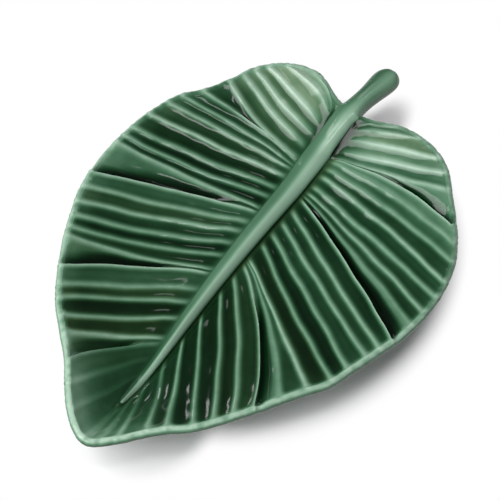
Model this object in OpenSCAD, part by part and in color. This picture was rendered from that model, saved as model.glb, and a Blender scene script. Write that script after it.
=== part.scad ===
// Ring dish in the form of a broad pleated leaf, slip-cast and glazed.
// The blade is a shallow bowl with veins raised between concave flutes and a rolled lip.
// The midrib is a tapering coil laid down the middle, and it runs out over the notch as the stem.
// An oval foot ring is luted under the floor. X runs across the leaf, Y from the tip to the stem.

/* [Blade] */
// Length of the blade, from the tip to the top of the lobes
blade_len = 118; // [90:1:150]
// Width of the blade across its widest part
blade_w = 90; // [70:1:120]
// Height of the rim above the table
rim_h = 14.5; // [12:0.5:20]
// Thickness of the floor under the midrib
floor_t = 4.2; // [3.4:0.1:5.5]
// Least thickness of the wall, measured upright under the veins
wall_t = 3.2; // [2.8:0.1:4]
// Radius of the rolled lip
lip_r = 1.3; // [1.1:0.1:1.8]

/* [Veins] */
// Depth of a flute as a share of its width
flute_share = 0.24; // [0.1:0.02:0.36]
// Greatest depth of a plain flute
flute_max = 0.9; // [0.4:0.1:1.3]
// Depth of a fold, where one pleat dips under the next
fold_d = 1.9; // [1:0.1:2.2]
// Rise of the veins out of the channel beside the midrib
vein_rise = 0.9; // [0.4:0.1:1.4]

/* [Midrib and stem] */
// Width of the midrib where it leaves the blade
rib_w = 6.2; // [4.5:0.1:8]
// Width of the midrib at its end near the tip
rib_end_w = 1; // [0.8:0.1:2]
// Height of the midrib above its seat
rib_h = 2.4; // [1.4:0.1:3.4]
// Length of the stem beyond the notch
stem_len = 15.2; // [8:0.2:24]
// Width of the rounded club at the end of the stem
stem_club_w = 7.2; // [5.5:0.1:9]
// Thickness of the stem beyond the blade
stem_t = 4.9; // [3.4:0.1:5.5]
// Height of the stem's top above the rim
stem_proud = 1.8; // [1:0.1:2.6]

/* [Foot] */
// Height of the foot ring
foot_h = 2; // [1:0.1:3]
// Length of the foot ring
foot_len = 50; // [40:1:60]
// Width of the foot ring
foot_w = 32; // [24:1:38]
// Wall of the foot ring
foot_wall = 3; // [2:0.1:4]

/* [Hidden] */

GLAZE = [0.36, 0.56, 0.43];
RIB_GLAZE = [0.50, 0.68, 0.56];
BARE_CLAY = [0.80, 0.74, 0.64];

// Shape of the rim, as bearing from the stem and radius from the middle of the blade
rim_left = [
    [4, 48.2], [8, 49.4], [10.5, 50.9], [13, 53.1], [16, 55.3], [20, 56.6], [25, 56.8], [30, 55.9],
    [35, 54.1], [40, 51.5], [45, 49.7], [50, 49], [56, 49.2], [63, 48.1], [70, 47.1], [80, 45.8],
    [90, 45], [100, 44.7], [115, 44.2], [130, 45.4], [145, 48.3], [155, 50.6], [162, 53.3],
    [170, 59.3], [175, 63.1], [179, 65.2]
];
rim_right = [
    [-2, 47.8], [2.5, 48.2], [6, 49.5], [10, 51.5], [15, 53.1], [20, 53.8], [25, 54], [30, 53.3],
    [37, 51.4], [45, 50.1], [53, 49.4], [60, 48.8], [68, 47.6], [80, 45.5], [90, 43.9],
    [100, 42.4], [110, 42.1], [120, 42.9], [130, 43], [140, 44.7], [150, 47.9], [160, 52.4],
    [166, 54.8], [170, 57.6], [174, 61.3], [179, 65.2]
];
// Course of the midrib, as Y and the sideways offset of its middle
rib_line = [
    [-52, -1], [-35, -1.9], [-20, -2.9], [-10, -3.5], [5, -4], [20, -4.1],
    [30, -4], [40, -3.6], [48, -2.8], [55, -1.7], [64, -0.6]
];
// Veins from the notch to the tip. Each row has the Y of the root beside the midrib, the bearing
// of the rim end, the bow towards the stem, the weight of the flute after the vein, and the share
// of the length at which that flute opens into a fold (1 is no fold).
veins_left = [
    [44.4, 16, 1, 0.8, 1], [43.6, 25, 1.5, 0.7, 1], [40.6, 30.4, 0.5, 0.8, 1],
    [38, 34, -0.5, 0.8, 1], [34.6, 37.5, -0.5, 1, 1], [31.2, 41.5, -1.5, 0.8, 0.3],
    [30.4, 49, 1.8, 0.9, 1], [29.2, 55.3, 1.5, 1, 1], [28.4, 60.6, 0.8, 1, 1],
    [25.9, 67.6, 0.6, 1, 1], [22, 74.5, 0.3, 1, 1], [19, 78.5, -0.3, 1, 1],
    [14.7, 82, 0.2, 0.8, 0.12], [13.6, 95.5, 1.4, 0.8, 1], [10, 101.6, 0.3, 0.9, 1],
    [6.8, 108, 0, 1, 1], [2.8, 113.3, -0.4, 1, 1], [-1.4, 118, -0.3, 1, 1],
    [-6.3, 121.4, -0.6, 0.8, 0.3], [-7.4, 132, 1.4, 0.8, 1], [-12.8, 138.8, 1, 0.8, 1],
    [-17, 143.2, 1, 1.1, 1], [-22, 149, 0, 1.1, 1], [-28.6, 154.5, 0.6, 0.8, 0.25],
    [-30.2, 161.5, 1.8, 0.7, 1], [-34.6, 167, 1, 0.5, 1], [-40, 172.5, 0.5, 0.2, 1]
];
veins_right = [
    [44.3, 10, 0.5, 0.7, 1], [43.2, 17, 0, 0.7, 1], [40.7, 25.5, 0.2, 0.8, 1],
    [37.3, 31, 0.2, 1, 1], [35.8, 36.5, -0.2, 0.8, 0.42], [35.2, 48, 3, 0.3, 1],
    [34.6, 54, 2, 0.6, 1], [32.6, 60.5, 1.6, 0.9, 1], [30.4, 68, 1.5, 0.9, 1],
    [27.1, 74, 1, 1, 1], [25, 80.5, 1.2, 0.7, 1], [23.9, 86.5, 1, 0.8, 0],
    [23, 94.3, 1.3, 1, 1], [19, 99.3, 0.1, 1, 1], [14.8, 104.5, 0, 1, 1],
    [10.6, 112, 0.4, 1, 1], [6.8, 118.5, -0.3, 1, 1], [1.2, 127, 0.5, 0.4, 1],
    [0.6, 135.5, 2, 0.8, 0.2], [-0.6, 143, 2.5, 0.9, 1], [-4.8, 149, 1.2, 1, 1],
    [-10.2, 154, 0.6, 1, 1], [-18.2, 159, 0, 1, 1], [-26, 165, 0, 0.9, 1],
    [-33.6, 168.7, 0.2, 0.7, 1], [-40, 173.5, 0, 0.4, 1], [-45.4, 176.5, 0, 0.2, 1]
];

// Ends of the midrib's seat, in the shape's own units, and the weight of the flute at the notch
seat_top_y = 44.8;
seat_end_y = -50;
first_flute = 0.3;
// Bearings on the rim at which the notch is looked for and the tip's vein ends
notch_start = 4;
tip_bearing = 179;
// Bearings at which the lobes begin beside the stem, the step between the points that measure the
// rim, and the bearing at which the free stem's length is measured from
left_lobe_start = 5;
right_lobe_start = 1;
rim_step = 2;
stem_bearing = 2;
// Section of a flute: the power of its hollow's curve
flute_round = 1.3;
// Folds: the share of the length over which one opens, how far its bottom leans towards the next
// vein, and its greatest depth as a share of its width
fold_opening = 0.25;
fold_lean = 2;
fold_share = 0.6;
// Shares of the length over which the flutes fade in at the midrib and out at the lip, and what
// is left of them there
root_fade = 0.12;
lip_fade = 0.12;
lip_scallop = 0.4;
// Fineness of the mesh: columns to a flute, rows from the seat to the lip, and the power by which
// the rows crowd towards the seat
flute_steps = 4;
blade_rows = 10;
row_power = 1.4;
// Angles of the lip's section, from its inner shoulder over the top to the foot of its outer side,
// and how many of them past the first the stem lies over
lip_angles = [125, 92, 55, 15, -35];
lip_rows_covered = 3;
// Shares of the way out at which the underside has its rows
under_rows = [1, 0.82, 0.62, 0.4, 0.2, 0];
// Reach over which the floor climbs to the notch and to the tip, and how far past the midrib's
// ends those climbs run out
end_reach = 27;
notch_run_out = 1.2;
tip_run_out = 12;
// Powers of the floor's sweep from the midrib up to the lip, of the underside's sweep, and of the
// veins' sinking into the lip
bowl_power = 2;
under_power = 1.8;
sink_power = 4;
// Distance over which the veins rise out of the channel
channel_reach = 1.8;
// Power of the midrib's taper, and the share of the free stem at which its thickness tapers too
rib_taper = 0.7;
club_start = 0.7;
// Distance over which the midrib gains its height, and the share of it that its tip end has
rib_gain = 30;
rib_least = 0.25;
// Clearance of the flat seat on the underside around the foot ring
foot_margin = 1;
// Middle of the foot ring, in the shape's own units
foot_at = [-3, -8];

// Section of the midrib over its seat: shares of its half width and of its height, left to right
rib_section = [
    [-1.03, 0.16], [-1.05, 0.45], [-0.84, 0.75], [-0.35, 0.93], [0.15, 1],
    [0.5, 0.93], [0.86, 0.72], [1.05, 0.42], [1.03, 0.16]
];
// Section of the free stem, its first and last points being the edges of the flat underneath
stem_section = [
    [-0.45, 0], [-0.85, 0.16], [-1, 0.46], [-0.86, 0.8], [-0.42, 1], [0, 0.96],
    [0.42, 1], [0.86, 0.8], [1, 0.46], [0.85, 0.16], [0.45, 0]
];
// Stations of the free stem: share of its length, and of the width of the club
stem_stations = [
    [0.08, 0.87], [0.2, 0.84], [0.35, 0.84], [0.5, 0.88], [0.64, 0.95], [0.77, 1],
    [0.87, 0.95], [0.94, 0.76], [0.98, 0.5], [1, 0.22]
];

// Straight blend and smooth step
function mix(a, b, s) = a + (b - a) * s;
function clamp01(s) = min(1, max(0, s));
function smooth(s) = let (c = clamp01(s)) c * c * (3 - 2 * c);

// Smooth curve through a table of [key, value] rows with rising keys
function span_of(tab, x, i = 0) = (i >= len(tab) - 2 || x < tab[i + 1][0]) ? i : span_of(tab, x, i + 1);
function secant(tab, i) = (tab[i + 1][1] - tab[i][1]) / (tab[i + 1][0] - tab[i][0]);
function slope_at(tab, i) =
    i == 0 ? secant(tab, 0)
    : i == len(tab) - 1 ? secant(tab, i - 1)
    : let (a = tab[i][0] - tab[i - 1][0], b = tab[i + 1][0] - tab[i][0])
      (secant(tab, i - 1) * b + secant(tab, i) * a) / (a + b);
function curve(tab, x) =
    let (
        i = span_of(tab, x),
        h = tab[i + 1][0] - tab[i][0],
        s = (x - tab[i][0]) / h,
        s2 = s * s,
        s3 = s2 * s
    )
    (2 * s3 - 3 * s2 + 1) * tab[i][1] + (s3 - 2 * s2 + s) * h * slope_at(tab, i)
    + (3 * s2 - 2 * s3) * tab[i + 1][1] + (s3 - s2) * h * slope_at(tab, i + 1);

// The rim's shape is stretched to the blade's width and length
function rim_table(side) = side < 0 ? rim_left : rim_right;
function rim_shape(side, b) = let (r = curve(rim_table(side), b)) [side * r * sin(b), r * cos(b)];
shape_left = [for (b = [left_lobe_start:rim_step:tip_bearing]) rim_shape(-1, b)];
shape_right = [for (b = [right_lobe_start:rim_step:tip_bearing]) rim_shape(1, b)];
shape_xs = concat([for (p = shape_left) p.x], [for (p = shape_right) p.x]);
shape_ys = concat([for (p = shape_left) p.y], [for (p = shape_right) p.y]);
sx = blade_w / (max(shape_xs) - min(shape_xs));
sy = blade_len / (max(shape_ys) - min(shape_ys));
function rim(side, b) = let (p = rim_shape(side, b)) [p.x * sx, p.y * sy];
function unit(v) = v / norm(v);
function rim_out(side, b) =
    let (t = rim(side, min(b + 1, tip_bearing)) - rim(side, b - 1), n = unit([-t.y, t.x]))
    n * side;

// Midrib: its middle line, its half width, and the height of its seat
function rib_x(y) = curve(rib_line, y / sy) * sx;
seat_top = seat_top_y * sy;
seat_end = seat_end_y * sy;
function rib_half(y) =
    mix(rib_end_w, rib_w, pow(clamp01((y - seat_end) / (seat_top - seat_end)), rib_taper)) / 2;
lip_h = rim_h - lip_r * (1 - sin(lip_angles[0]));
lip_in = lip_r * (1 - cos(lip_angles[0]));
floor_z = foot_h + floor_t;
function seat_z(y) =
    let (
        to_end = min(seat_top + notch_run_out - y, y - seat_end + tip_run_out),
        s = clamp01(to_end / end_reach)
    )
    lip_h - (lip_h - floor_z) * (1 - (1 - s) * (1 - s));

// Vein tables with the notch and the tip added as first and last rows
function notch_bearing(side) =
    let (y = curve(rim_table(side), notch_start) * sy, x = side * rib_x(y) + rib_half(seat_top))
    atan2(x / sx, y / sy);
function vein_table(side) = concat(
    [[seat_top_y, notch_bearing(side), 0, first_flute, 1]],
    side < 0 ? veins_left : veins_right,
    [[seat_end_y, tip_bearing, 0, 0, 1]]
);
TABLES = [vein_table(-1), vein_table(1)];
function table(side) = TABLES[side < 0 ? 0 : 1];
flutes = len(TABLES[0]) - 1;

// Plan of a vein or of a line between two veins: an arc from its root to the lip's inner edge
function row_mix(side, t, k) =
    let (i = min(floor(t), flutes - 1))
    mix(table(side)[i][k], table(side)[i + 1][k], t - i);
function root_of(side, t) =
    let (y = row_mix(side, t, 0) * sy)
    [rib_x(y) + side * rib_half(y), y];
function line_of(side, t) =
    let (
        root = root_of(side, t),
        b = row_mix(side, t, 1),
        out = rim_out(side, b),
        rim_end = rim(side, b),
        tip = rim_end - out * lip_in,
        chord = tip - root,
        up = unit([-chord.y, chord.x]) * side,
        bend = (root + tip) / 2 + up * 2 * sy * row_mix(side, t, 2)
    )
    [root, bend, tip, out, rim_end];
function along(line, u) =
    (1 - u) * (1 - u) * line[0] + 2 * u * (1 - u) * line[1] + u * u * line[2];

// Height of the blade over a line: the bowl, the veins' rise from the channel, and the flutes
function bowl_z(line, u) = mix(seat_z(line[0].y), lip_h, pow(u, bowl_power));
function rise(line, u) =
    let (s = norm(along(line, u) - line[0]) / channel_reach)
    vein_rise * (1 - exp(-s * s)) * (1 - pow(u, sink_power));
function flute_shape(f, lean) = pow(sin(180 * pow(f, lean)), flute_round);
function flute_depth(side, t, u) =
    let (
        i = min(floor(t), flutes - 1),
        f = t - i,
        row = table(side)[i],
        fold = row[4] < 1 ? smooth((u - row[4]) / fold_opening) : 0,
        width = norm(along(line_of(side, i + 1), u) - along(line_of(side, i), u)),
        plain = min(flute_max, flute_share * width) * row[3],
        deep = mix(plain, min(fold_d, fold_share * width), fold),
        edge = smooth(u / root_fade) * mix(1, lip_scallop, smooth((u - 1 + lip_fade) / lip_fade))
    )
    deep * edge * (f <= 0 ? 0 : flute_shape(f, 1 + fold_lean * fold));

// Underside: flat over the foot ring, then sweeping up to the lip, and never nearer than the wall
foot_mid = [foot_at.x * sx, foot_at.y * sy];
foot_run = (foot_len - foot_w) / 2;
function foot_gap(p) =
    let (q = p - foot_mid, d = norm([q.x, max(0, abs(q.y) - foot_run)]))
    max(0, d - foot_w / 2 - foot_margin);
low_lip = rim_h - lip_r * (1 - sin(lip_angles[len(lip_angles) - 1]));
function under_z(line, u) =
    let (
        p = along(line, u),
        g = foot_gap(p),
        s = g / (g + norm(line[4] - p)),
        sweep = mix(foot_h, low_lip, pow(s, under_power))
    )
    max(foot_h, min(sweep, bowl_z(line, u) + rise(line, u) - wall_t));

// One column of points: out along the blade, round the lip, and back underneath
function column(side, t) =
    let (line = line_of(side, t))
    concat(
        [for (k = [0:blade_rows])
            let (u = pow(k / blade_rows, row_power), p = along(line, u))
            [p.x, p.y, bowl_z(line, u) + rise(line, u) - flute_depth(side, t, u)]],
        [for (a = lip_angles)
            let (p = line[4] - line[3] * lip_r * (1 - cos(a)))
            if (a != lip_angles[0]) [p.x, p.y, rim_h - lip_r * (1 - sin(a))]],
        [for (u = under_rows)
            let (p = along(line, u))
            [p.x, p.y, under_z(line, u)]]
    );

cols = flutes * flute_steps;
function columns(side) = [for (j = [0:cols]) column(side, j / flute_steps)];
LEFT_COLS = columns(-1);
RIGHT_COLS = columns(1);
covered_row = blade_rows + lip_rows_covered;

// Whole dish centred over the origin
stem_end_y = rim(1, stem_bearing).y + stem_len;
tip_y = min(shape_ys) * sy;
mid = [(max(shape_xs) + min(shape_xs)) / 2 * sx, (tip_y + stem_end_y) / 2];
module placed() {
    translate([-mid.x, -mid.y, 0])
        children();
}

// Two triangles for the four corners a, b, c, d, clockwise from outside
function quad(a, b, c, d) = [[a, b, c], [a, c, d]];
function flat(lists) = [for (l = lists, v = l) v];

module leaf_blade() {
    n = len(LEFT_COLS[0]);
    ring = concat(LEFT_COLS, [for (j = [cols:-1:0]) RIGHT_COLS[j]]);
    m = len(ring);
    function at(c, k) = (c % m) * n + k;
    function right_at(j, k) = (m - 1 - j) * n + k;
    skin = [for (c = [0:m - 1], k = [0:n - 2])
        each quad(at(c, k), at(c + 1, k), at(c + 1, k + 1), at(c, k + 1))];
    seat = [for (j = [0:cols - 1])
        each quad(at(j, 0), right_at(j, 0), right_at(j + 1, 0), at(j + 1, 0))];
    belly = [for (j = [0:cols - 1])
        each quad(at(j, n - 1), at(j + 1, n - 1), right_at(j + 1, n - 1), right_at(j, n - 1))];
    color(GLAZE)
        placed()
            polyhedron(points = flat(ring), faces = concat(skin, seat, belly), convexity = 10);
}

// Stations of the midrib on the blade, from the tip to the notch and over the lip.
// Each has its left and right corner on the blade, and its height over them.
function rib_height(y) = rib_h * mix(rib_least, 1, smooth((y - seat_end) / rib_gain));
function rib_top(y) = min(seat_z(y) + rib_height(y), stem_top);
stem_top = rim_h + stem_proud;
seated = concat(
    [for (j = [cols:-1:0])
        let (y = (LEFT_COLS[j][0].y + RIGHT_COLS[j][0].y) / 2)
        [LEFT_COLS[j][0], RIGHT_COLS[j][0], rib_top(y)]],
    [for (k = [1:covered_row])
        let (y = LEFT_COLS[0][k].y, s = smooth(k / blade_rows))
        [LEFT_COLS[0][k], RIGHT_COLS[0][k], mix(rib_top(seat_top), stem_top, s)]]
);
function seated_ring(s) =
    let (
        c = (s[0] + s[1]) / 2,
        half = norm([s[1].x - s[0].x, s[1].y - s[0].y]) / 2,
        across = unit([s[1].x - s[0].x, s[1].y - s[0].y]),
        tall = s[2] - c.z
    )
    concat(
        [s[0]],
        [for (p = rib_section)
            [c.x + across.x * half * p[0], c.y + across.y * half * p[0], c.z + tall * p[1]]],
        [s[1]]
    );

// Stations of the free stem, with its underside rounded
free_start = LEFT_COLS[0][covered_row].y;
function free_ring(st) =
    let (
        y = mix(free_start, stem_end_y, st[0]),
        half = stem_club_w / 2 * st[1],
        tall = stem_t * mix(1, sqrt(st[1]), smooth((st[0] - club_start) / (1 - club_start))),
        low = stem_top - stem_t / 2 - tall / 2,
        x = rib_x(y)
    )
    [for (q = stem_section) [x + half * q[0], y, low + tall * q[1]]];

module stem_midrib() {
    rings = concat([for (s = seated) seated_ring(s)], [for (st = stem_stations) free_ring(st)]);
    n = len(rings[0]);
    m = len(rings);
    skin = [for (c = [0:m - 2], k = [0:n - 1])
        each quad(c * n + k, (c + 1) * n + k, (c + 1) * n + (k + 1) % n, c * n + (k + 1) % n)];
    near_end = [[for (k = [0:n - 1]) k]];
    far_end = [[for (k = [n - 1:-1:0]) (m - 1) * n + k]];
    color(RIB_GLAZE)
        placed()
            polyhedron(points = flat(rings), faces = concat(skin, near_end, far_end), convexity = 6);
}

// Stadium outline of the foot ring
module stadium(l, w) {
    run = l - w;
    square([w, run], center = true);
    for (s = [-1, 1])
        translate([0, s * run / 2])
            circle(d = w, $fn = 96);
}

module foot_ring() {
    color(BARE_CLAY)
        placed()
            translate([foot_mid.x, foot_mid.y, 0])
                linear_extrude(foot_h)
                    difference() {
                        stadium(foot_len, foot_w);
                        stadium(foot_len - 2 * foot_wall, foot_w - 2 * foot_wall);
                    }
}

leaf_blade();
stem_midrib();
foot_ring();
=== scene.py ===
"""Looks of a ring dish in the form of a broad pleated leaf, in glossy green glaze over pale clay.

The blade and the midrib are drawn from the same plan as the solids that they stand for, finely enough
to show the rounded veins, the glaze that gathers in the flutes and the rolled lip. Lengths that the
user changes are in millimetres; meshes are made in metres, in the frame's own place.
"""

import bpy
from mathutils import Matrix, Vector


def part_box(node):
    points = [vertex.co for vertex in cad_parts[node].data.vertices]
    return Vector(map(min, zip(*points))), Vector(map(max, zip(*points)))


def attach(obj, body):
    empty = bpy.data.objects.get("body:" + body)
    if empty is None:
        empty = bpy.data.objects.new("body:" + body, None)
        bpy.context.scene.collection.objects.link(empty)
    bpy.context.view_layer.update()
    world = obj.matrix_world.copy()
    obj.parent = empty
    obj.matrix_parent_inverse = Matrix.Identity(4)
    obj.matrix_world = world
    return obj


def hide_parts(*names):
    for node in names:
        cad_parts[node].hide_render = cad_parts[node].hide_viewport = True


bl_info = {
    "name": "Leaf ring dish",
    "version": (1, 0, 0),
    "blender": (4, 5, 0),
    "location": "View3D > Sidebar > Leaf dish",
    "description": "Models the glazed blade, midrib and foot of a leaf-shaped ring dish",
    "category": "Object",
}

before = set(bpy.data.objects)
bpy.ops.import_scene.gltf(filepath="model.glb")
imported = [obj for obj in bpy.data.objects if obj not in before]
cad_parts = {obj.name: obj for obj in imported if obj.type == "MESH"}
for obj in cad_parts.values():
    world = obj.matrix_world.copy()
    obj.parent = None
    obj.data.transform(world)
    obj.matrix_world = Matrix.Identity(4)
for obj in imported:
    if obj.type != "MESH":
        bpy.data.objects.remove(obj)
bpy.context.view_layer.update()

import math
from types import SimpleNamespace

import bpy
import numpy as np
from bpy.props import FloatProperty, FloatVectorProperty, IntProperty, PointerProperty
from mathutils import Vector

bpy.ops.object.select_all(action="DESELECT")

MM = 0.001
BODY = "root"

# Shape of the rim, as bearing from the stem in degrees and radius from the middle of the blade
RIM_LEFT = (
    (4, 48.2), (8, 49.4), (10.5, 50.9), (13, 53.1), (16, 55.3), (20, 56.6), (25, 56.8), (30, 55.9),
    (35, 54.1), (40, 51.5), (45, 49.7), (50, 49), (56, 49.2), (63, 48.1), (70, 47.1), (80, 45.8),
    (90, 45), (100, 44.7), (115, 44.2), (130, 45.4), (145, 48.3), (155, 50.6), (162, 53.3),
    (170, 59.3), (175, 63.1), (179, 65.2), (181, 65.3),
)
RIM_RIGHT = (
    (-2, 47.8), (2.5, 48.2), (6, 49.5), (10, 51.5), (15, 53.1), (20, 53.8), (25, 54), (30, 53.3),
    (37, 51.4), (45, 50.1), (53, 49.4), (60, 48.8), (68, 47.6), (80, 45.5), (90, 43.9),
    (100, 42.4), (110, 42.1), (120, 42.9), (130, 43), (140, 44.7), (150, 47.9), (160, 52.4),
    (166, 54.8), (170, 57.6), (174, 61.3), (179, 65.2), (181, 65.3),
)
# Course of the midrib, as Y and the sideways offset of its middle
RIB_LINE = (
    (-52, -1), (-35, -1.9), (-20, -2.9), (-10, -3.5), (5, -4), (20, -4.1),
    (30, -4), (40, -3.6), (48, -2.8), (55, -1.7), (64, -0.6),
)
# Veins from the notch to the tip. Each row has the Y of the root, the bearing of the rim end, the bow
# towards the stem, the weight of the flute after the vein, the share of the length at which that
# flute opens into a fold (1 is no fold), how bold the vein is, and how olive and how thickly glazed
# the flute after it is.
# The thin glaze in the first flutes beside the stem is partly painted sheen
VEINS_LEFT = (
    (44.4, 16, 1, 0.8, 1, 0.5, 0.1, 0.2), (43.6, 25, 1.5, 0.7, 1, 0.9, 0.3, 0.3),
    (40.6, 30.4, 0.5, 0.8, 1, 0.9, 0.35, 0.5), (38, 34, -0.5, 0.8, 1, 0.6, 0.35, 0.55),
    (34.6, 37.5, -0.5, 1, 1, 0.6, 0.3, 0.6), (31.2, 41.5, -1.5, 0.8, 0.2, 0.9, 0.1, 1.05),
    (30.4, 49, 1.8, 0.9, 1, 0.4, 0, 0.8), (29.2, 55.3, 1.5, 1, 1, 0.1, 0.1, 0.8),
    (28.4, 60.6, 0.8, 1, 1, 0.5, 0.3, 0.8), (25.9, 67.6, 0.6, 1, 1, 0.8, 0.2, 0.95),
    (22, 74.5, 0.3, 1, 1, 0.2, 0, 1.1), (19, 78.5, -0.3, 1, 1, 0.2, 0, 1.1),
    (14.7, 82, 0.2, 0.8, 0.12, 0.7, 0, 1), (13.6, 95.5, 1.4, 0.8, 1, 0.9, 0, 0.6),
    (10, 101.6, 0.3, 0.9, 1, 0.4, 0.4, 0.75), (6.8, 108, 0, 1, 1, 0.5, 0.1, 0.85),
    (2.8, 113.3, -0.4, 1, 1, 0.2, 0.1, 1.1), (-1.4, 118, -0.3, 1, 1, 0.1, 0.2, 0.95),
    (-6.3, 121.4, -0.6, 0.8, 0.22, 0.5, 0.2, 1.05), (-7.4, 132, 1.4, 0.8, 1, 0.9, 0.1, 0.6),
    (-12.8, 138.8, 1, 0.8, 1, 0.2, 0.7, 0.8), (-17, 143.2, 1, 1.1, 1, 0.2, 0.5, 1.1),
    (-22, 149, 0, 1.1, 1, 0.3, 0.9, 0.95), (-28.6, 154.5, 0.6, 0.8, 0.2, 0.6, 0.3, 0.75),
    (-30.2, 161.5, 1.8, 0.7, 1, 0.6, 0.1, 0.65), (-34.6, 167, 1, 0.5, 1, 0.4, 0, 0.6),
    (-40, 172.5, 0.5, 0.2, 1, 0, 0, 0.6),
)
VEINS_RIGHT = (
    (44.3, 10, 0.5, 0.7, 1, 0.2, 0.1, 0.45), (43.2, 17, 0, 0.7, 1, 0.5, 0.3, 0.4),
    (40.7, 25.5, 0.2, 0.8, 1, 0.7, 0.1, 0.4), (37.3, 31, 0.2, 1, 1, 0.6, 0, 0.55),
    (35.8, 36.5, -0.2, 0.8, 0.46, 0.5, 0, 0.9), (35.2, 48, 3, 0.3, 1, 0.8, 0, 0.35),
    (34.6, 54, 2, 0.6, 1, 0.3, 0, 0.55), (32.6, 60.5, 1.6, 0.9, 1, 0.2, 0.1, 0.8),
    (30.4, 68, 1.5, 0.9, 1, 0.6, 0, 0.8), (27.1, 74, 1, 1, 1, 0.3, 0.1, 0.8),
    (25, 80.5, 1.2, 0.7, 1, 0.5, 0.1, 0.85), (23.9, 86.5, 1, 0.8, -0.1, 0.1, 0, 1.05),
    (23, 94.3, 1.3, 1, 1, 0.8, 0, 0.9), (19, 99.3, 0.1, 1, 1, 0.5, 0.1, 0.8),
    (14.8, 104.5, 0, 1, 1, 0.4, 0, 0.8), (10.6, 112, 0.4, 1, 1, 0.3, 0, 1.1),
    (6.8, 118.5, -0.3, 1, 1, 0.2, 0.5, 1.05), (1.2, 127, 0.5, 0.4, 1, 0.8, 0.1, 0.75),
    (0.6, 135.5, 2, 0.8, 0.2, 0.1, 0, 0.72), (-0.6, 143, 2.5, 0.9, 1, 0.6, 0.4, 0.85),
    (-4.8, 149, 1.2, 1, 1, 0.3, 0.5, 1), (-10.2, 154, 0.6, 1, 1, 0.2, 0.2, 1.05),
    (-18.2, 159, 0, 1, 1, 0.2, 0.1, 1.05), (-26, 165, 0, 0.9, 1, 0.2, 0.1, 0.9),
    (-33.6, 168.7, 0.2, 0.7, 1, 0.1, 0, 0.8), (-40, 173.5, 0, 0.4, 1, 0.4, 0, 0.6),
    (-45.4, 176.5, 0, 0.2, 1, 0, 0, 0.5),
)
# Columns of a vein row
ROOT_Y, BEARING, BOW, WEIGHT, FOLD_AT, BOLD, OLIVE, POOL = range(8)

# What differs between the left side, -1, and the right, 1: the rim and the veins, how far the flutes'
# ends spread from the lip, how far the veins beyond the lobe run over it, and the glaze: at the roots,
# its weight at the tip, its share at the lip, what the lobe's roots add, and the olive of the roots
SIDES = {
    -1: SimpleNamespace(
        rim=RIM_LEFT, veins=VEINS_LEFT, lip_spread=1.5, run_over=0.6,
        root_glaze=1.7, tip_weight=0.62, lip_share=0.72, lobe_root=1.0, olive_root=0,
    ),
    1: SimpleNamespace(
        rim=RIM_RIGHT, veins=VEINS_RIGHT, lip_spread=1, run_over=0.3,
        root_glaze=2.4, tip_weight=0.5, lip_share=0.85, lobe_root=1.8, olive_root=0.7,
    ),
}

# Ends of the midrib's seat, and the power at which the seat narrows from one to the other
SEAT_TOP_Y, SEAT_END_Y, SEAT_TAPER = 44.8, -50.0, 0.7
# Bearings at which the rim begins beside the notch, the last line ends at the tip, and the rim ends
NOTCH_START, TIP_BEARING, LAST_BEARING = 4.0, 179.9, 180.9
# First and last rows of a vein table, the notch and the tip, without their root and bearing
NOTCH_ROW = (0, 0.3, 1, 0.3, 0, 0.3)
TIP_ROW = (0, 0, 1, 0, 0, 0.5)
# Reach of the floor's climbs to the notch and to the tip, and how far past the seat's ends they go
END_REACH, NOTCH_RUN_OUT, TIP_RUN_OUT = 27.0, 1.2, 12.0

# Vein numbers at which these begin, and over how many they come in full: the lobe beside the stem ends,
# its veins stop running over the lip, the others stop too, and the tip's smooth wall starts
LOBE_ENDS, RUNNING_WANES, RUNNING_ENDS, TIP_WALL = (4, 3), (9, 5), (22, 3), (24, 2)
# The fold that closes again before the lip, as side and row: the share of its length at which it begins
# to and the share over which it does, and by how much
CLOSING_FOLD, CLOSES, CLOSES_BY = (-1, 6), (0.55, 0.35), 0.8
# Lean of a fold and of the closing one: below 1 the bottom nears the upper vein, above 1 the lower
FOLD_LEAN, CLOSING_LEAN = 3.4, 0.5
# Depth of a fold at most, as a share of its width, and the power that rounds a flute off at its veins
FOLD_STEEPEST, FLUTE_ROUNDING = 0.6, 1.3
# Spread of the tops of a faint and a bold vein, and how bold a vein of plain height is
TOP_SPREAD, PLAIN_BOLD = (0.8, 1.3), 0.4
# Power at which the veins' rise ends at the lip, and the share of a short line that its root takes
RISE_END, SHORT_ROOT = 4, 0.3
# Spread of the flutes' ends where veins run over the lip and at the tip, and their depth at the first
RUN_OVER_SPREAD, TIP_SPREAD, RUN_OVER_DEPTH = 0.6, 3, 0.8
# Scallops of these ends: the spread at a vein, and how much less it is in the middle of a flute
SCALLOP, SCALLOP_DIP = 1.25, 0.7

# Depth of the deepest glaze, at which a ramp of its colours ends, and the ramp's stops and crowding
DEEPEST, RAMP_STOPS, RAMP_CROWDING = 5.0, 14, 1.4
# Depth over a faint and a bold vein, on most of the blade and on the lobe beside the stem
# On the lobe beside the stem the thinner glaze is partly painted sheen
THIN, THIN_AND_SHEEN_ON_LOBE = (0.7, 0.05), (0.3, -0.18)
# Depth in a flute, in the crease of a fold and beside it, and how much less it is on the lobe
# In a fold's crease this depth is partly pooled glaze and partly painted shade
# On the lobe the lesser depth in the flutes is partly painted sheen
IN_FLUTE, IN_CREASE_AND_SHADE, BESIDE_CREASE, LOBE_THINNER_AND_SHEEN = 3.3, 4.9, 1.4, 0.3
# Width of the thin glaze below and above a vein: over the crest's, at most as a share of the flute's,
# and in millimetres where a fold lies against the vein
# The wider pale band above a vein is partly painted light on the flank that faces the stem
THIN_BELOW, THIN_AND_LIT_ABOVE = (1, 0.36, 0.25), (1.35, 0.5, 0.35)
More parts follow.
